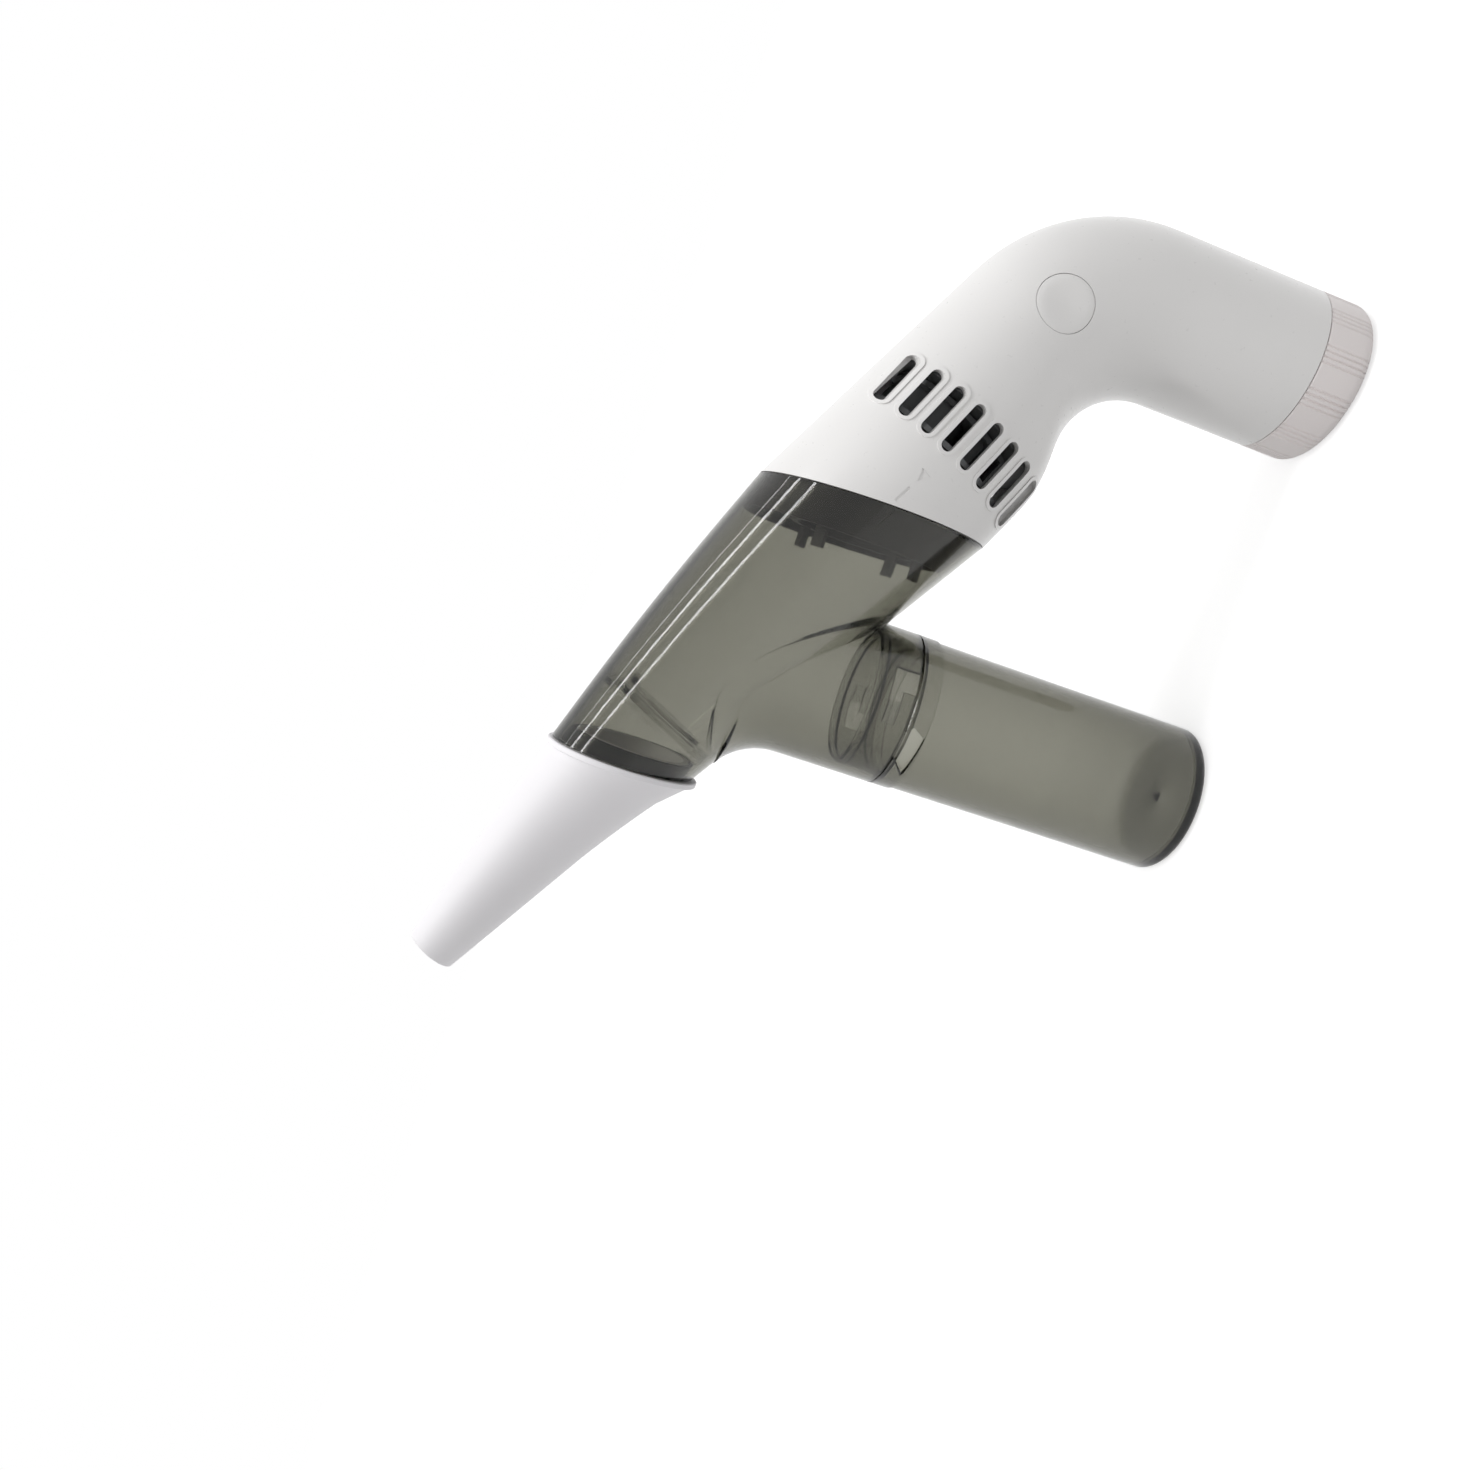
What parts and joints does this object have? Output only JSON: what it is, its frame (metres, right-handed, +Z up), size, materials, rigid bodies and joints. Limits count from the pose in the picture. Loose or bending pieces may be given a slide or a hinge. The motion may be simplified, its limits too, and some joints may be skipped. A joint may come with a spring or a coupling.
{
  "type": "insect aspirator",
  "caption": "Hand-held battery insect aspirator: angled fan housing with handle, clear oblique chamber with spout and collecting tube, and a tapered nozzle.",
  "frame": {"origin": "on the floor, below the middle of the object's length and width, with the object standing on its battery cap and its collecting tube", "axes": "+X from the nozzle towards the handle, +Y across the object from the side the picture shows to the far side, +Z up along the handle and the tube"},
  "size_m": [0.2142, 0.0542, 0.1642],
  "materials": {
    "housing_white": "glossy white moulded plastic",
    "cap_white": "satin off-white moulded plastic",
    "nozzle_white": "fine matte white moulded plastic",
    "smoke_clear": "smoke-tinted see-through plastic",
    "black_plastic": "black moulded plastic",
    "inner_grey": "grey moulded plastic",
    "rubber": "matte black rubber",
    "steel": "bright steel",
    "motor_metal": "plated metal can",
    "contact": "plated spring metal",
    "cell": "plain printed sleeve",
    "lead_red": "red wire sleeve",
    "lead_black": "black wire sleeve"
  },
  "bodies": {
    "handle_unit": {"housing_near_shell": "housing_white", "housing_far_shell": "housing_white", "housing_screw_1": "steel", "housing_screw_2": "steel", "housing_screw_3": "steel", "housing_screw_4": "steel", "housing_screw_5": "steel", "switch_body": "black_plastic", "battery_cell_1": "cell", "battery_cell_2": "cell", "contact_positive": "contact", "contact_negative": "contact", "battery_carrier": "inner_grey", "motor_can": "motor_metal", "motor_end_bell": "black_plastic", "motor_cradle": "inner_grey", "fan_inlet_plate": "inner_grey", "coupling_ring": "black_plastic", "coupling_seal": "rubber", "filter_frame": "black_plastic", "filter_mesh": "steel", "lead_positive": "lead_red", "lead_switched": "lead_red", "lead_negative": "lead_black"},
    "cap_unit": {"battery_cap": "cap_white", "battery_cap_seal": "rubber", "battery_cap_contact": "contact"},
    "fan_unit": {"motor_shaft": "steel", "impeller": "inner_grey"},
    "button_unit": {"switch_button": "housing_white"},
    "chamber_unit": {"chamber": "smoke_clear", "chamber_collar": "black_plastic", "inlet_seat": "black_plastic", "flap_pin": "steel"},
    "tube_unit": {"collection_tube": "smoke_clear", "tube_seal": "rubber"},
    "nozzle_unit": {"nozzle": "nozzle_white", "nozzle_seal": "rubber"},
    "flap_unit": {"inlet_flap": "black_plastic"}
  },
  "joints": [
    {"name": "battery_cap_twist", "type": "hinge", "parent": "handle_unit", "child": "cap_unit", "pos_m": [0.08819, 0, 0.006], "axis": [0, 0, 1], "range_deg": [0, 30]},
    {"name": "fan_spin", "type": "hinge", "parent": "handle_unit", "child": "fan_unit", "pos_m": [0.04542, 0, 0.08436], "axis": [0.91, 0, -0.4147], "continuous": true},
    {"name": "button_press", "type": "slide", "parent": "handle_unit", "child": "button_unit", "axis": [0, 1, 0], "range_m": [0, 0.0014], "stiffness_N_per_m": 600, "springref_m": -0.001},
    {"name": "chamber_twist", "type": "hinge", "parent": "handle_unit", "child": "chamber_unit", "pos_m": [0.02449, 0, 0.0939], "axis": [1, 0, 0], "range_deg": [0, 20]},
    {"name": "tube_twist", "type": "hinge", "parent": "chamber_unit", "child": "tube_unit", "pos_m": [-0.01711, 0, 0.0739], "axis": [0, 0, 1], "range_deg": [0, 25]},
    {"name": "nozzle_pull", "type": "slide", "parent": "chamber_unit", "child": "nozzle_unit", "axis": [-0.91, 0, 0.4147], "range_m": [0, 0.025]},
    {"name": "flap_swing", "type": "hinge", "parent": "chamber_unit", "child": "flap_unit", "pos_m": [-0.02937, 0, 0.13347], "axis": [0, -1, 0], "range_deg": [0, 60], "stiffness_Nm_per_rad": 0.0002, "springref_deg": -9.74}
  ]
}
